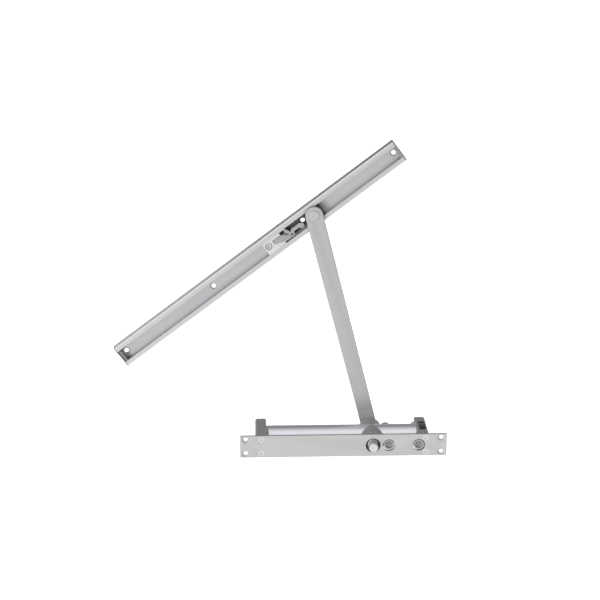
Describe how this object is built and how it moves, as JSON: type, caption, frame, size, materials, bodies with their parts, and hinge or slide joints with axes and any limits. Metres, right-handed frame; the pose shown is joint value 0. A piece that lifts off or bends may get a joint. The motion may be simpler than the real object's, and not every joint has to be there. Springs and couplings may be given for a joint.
{
  "type": "concealed door closer",
  "caption": "Concealed door closer: a hydraulic cylinder behind a narrow faceplate, a cranked arm on its pinion, and a slide channel with a hold-open catch.",
  "frame": {"origin": "middle of the faceplate's back face, which seats on the door edge and is also the middle of its four corner screw holes", "axes": "+X along the faceplate towards the spindle end, +Y across the faceplate towards the side the arm swings out on, +Z out of the faceplate along the pinion axis"},
  "size_m": [0.4193, 0.3867, 0.1],
  "materials": {
    "plate_silver": "satin silver coat",
    "cast_body": "satin silver coat over the casting",
    "steel": "bright zinc",
    "hard_steel": "ground",
    "arm_silver": "satin silver coat",
    "rail_aluminium": "silver anodised",
    "black_plastic": "matt",
    "cap_plastic": "matt",
    "seal_rubber": "matt",
    "bronze": "turned",
    "iron": "machined"
  },
  "bodies": {
    "closer_body": {"faceplate": "plate_silver", "faceplate_screws": "steel", "closer_housing": "cast_body", "left_bracket": "cast_body", "left_bracket_seal": "seal_rubber", "adjuster_seal": "seal_rubber", "bearing_front": "bronze", "bearing_rear": "bronze", "bearing_cap_front": "steel", "bearing_cap_rear": "steel", "shaft_seal_front": "seal_rubber", "shaft_seal_rear": "seal_rubber", "closing_valve_plug": "steel", "latching_valve_plug": "steel", "rear_valve_plugs": "steel"},
    "arm_body": {"pinion": "steel", "arm": "arm_silver", "arm_washer": "steel", "arm_screw": "steel", "slide_rivet": "steel", "pivot_spacer": "steel"},
    "piston_body": {"piston": "iron", "piston_seal": "black_plastic", "check_valve_seat": "steel", "main_spring": "hard_steel"},
    "check_ball_body": {"check_ball": "hard_steel"},
    "adjuster_body": {"spring_adjuster": "steel", "adjuster_clip": "hard_steel"},
    "seat_body": {"spring_seat": "steel"},
    "closing_needle_body": {"closing_needle": "steel"},
    "latching_needle_body": {"latching_needle": "steel"},
    "block_body": {"slide_block": "black_plastic", "block_bush": "bronze"},
    "rail_body": {"guide_rail": "rail_aluminium", "rail_end_cap_left": "cap_plastic", "rail_end_cap_right": "cap_plastic", "hold_open_base": "black_plastic", "hold_open_block": "steel", "hold_open_spring": "hard_steel"},
    "hold_screw_body": {"hold_open_screw": "steel"},
    "catch_body": {"hold_open_catch": "steel"}
  },
  "joints": [
    {"name": "arm_swing", "type": "hinge", "parent": "closer_body", "child": "arm_body", "pos_m": [0.0372, 0, 0], "axis": [0, 0, 1], "range_deg": [-55, 75.5]},
    {"name": "piston_travel", "type": "slide", "parent": "closer_body", "child": "piston_body", "axis": [1, 0, 0], "range_m": [-0.0073, 0.01], "deforming": ["main_spring"]},
    {"name": "check_ball_lift", "type": "slide", "parent": "piston_body", "child": "check_ball_body", "axis": [1, 0, 0], "range_m": [0, 0.0008]},
    {"name": "adjuster_turn", "type": "hinge", "parent": "closer_body", "child": "adjuster_body", "pos_m": [-0.1, 0, -0.0295], "axis": [1, 0, 0], "range_deg": [0, 2880]},
    {"name": "seat_travel", "type": "slide", "parent": "closer_body", "child": "seat_body", "axis": [1, 0, 0], "range_m": [0, 0.0101], "deforming": ["main_spring"]},
    {"name": "closing_needle_turn", "type": "hinge", "parent": "closer_body", "child": "closing_needle_body", "pos_m": [0.0573, 0, 0], "axis": [0, 0, 1], "range_deg": [-180, 180]},
    {"name": "latching_needle_turn", "type": "hinge", "parent": "closer_body", "child": "latching_needle_body", "pos_m": [0.0948, 0, 0], "axis": [0, 0, 1], "range_deg": [-180, 180]},
    {"name": "slide_pivot", "type": "hinge", "parent": "arm_body", "child": "block_body", "pos_m": [-0.03516, 0.27979, 0], "axis": [0, 0, 1], "range_deg": [-113, 60]},
    {"name": "rail_slide", "type": "slide", "parent": "block_body", "child": "rail_body", "axis": [0.7955, 0.606, 0], "range_m": [-0.1137, 0.0079]},
    {"name": "hold_screw_turn", "type": "hinge", "parent": "rail_body", "child": "hold_screw_body", "pos_m": [-0.09129, 0.23854, 0.003], "axis": [0, 0, 1], "range_deg": [-180, 180]},
    {"name": "catch_tilt", "type": "hinge", "parent": "rail_body", "child": "catch_body", "pos_m": [-0.06221, 0.25416, 0.003], "axis": [0, 0, 1], "range_deg": [0, 7], "stiffness_Nm_per_rad": 0.2, "springref_deg": -5.73, "deforming": ["hold_open_spring"]}
  ],
  "couplings": [
    {"joint": "piston_travel", "follows": "arm_swing", "m_per_rad": 0.0075},
    {"joint": "seat_travel", "follows": "adjuster_turn", "m_per_rad": 0.00019894}
  ]
}
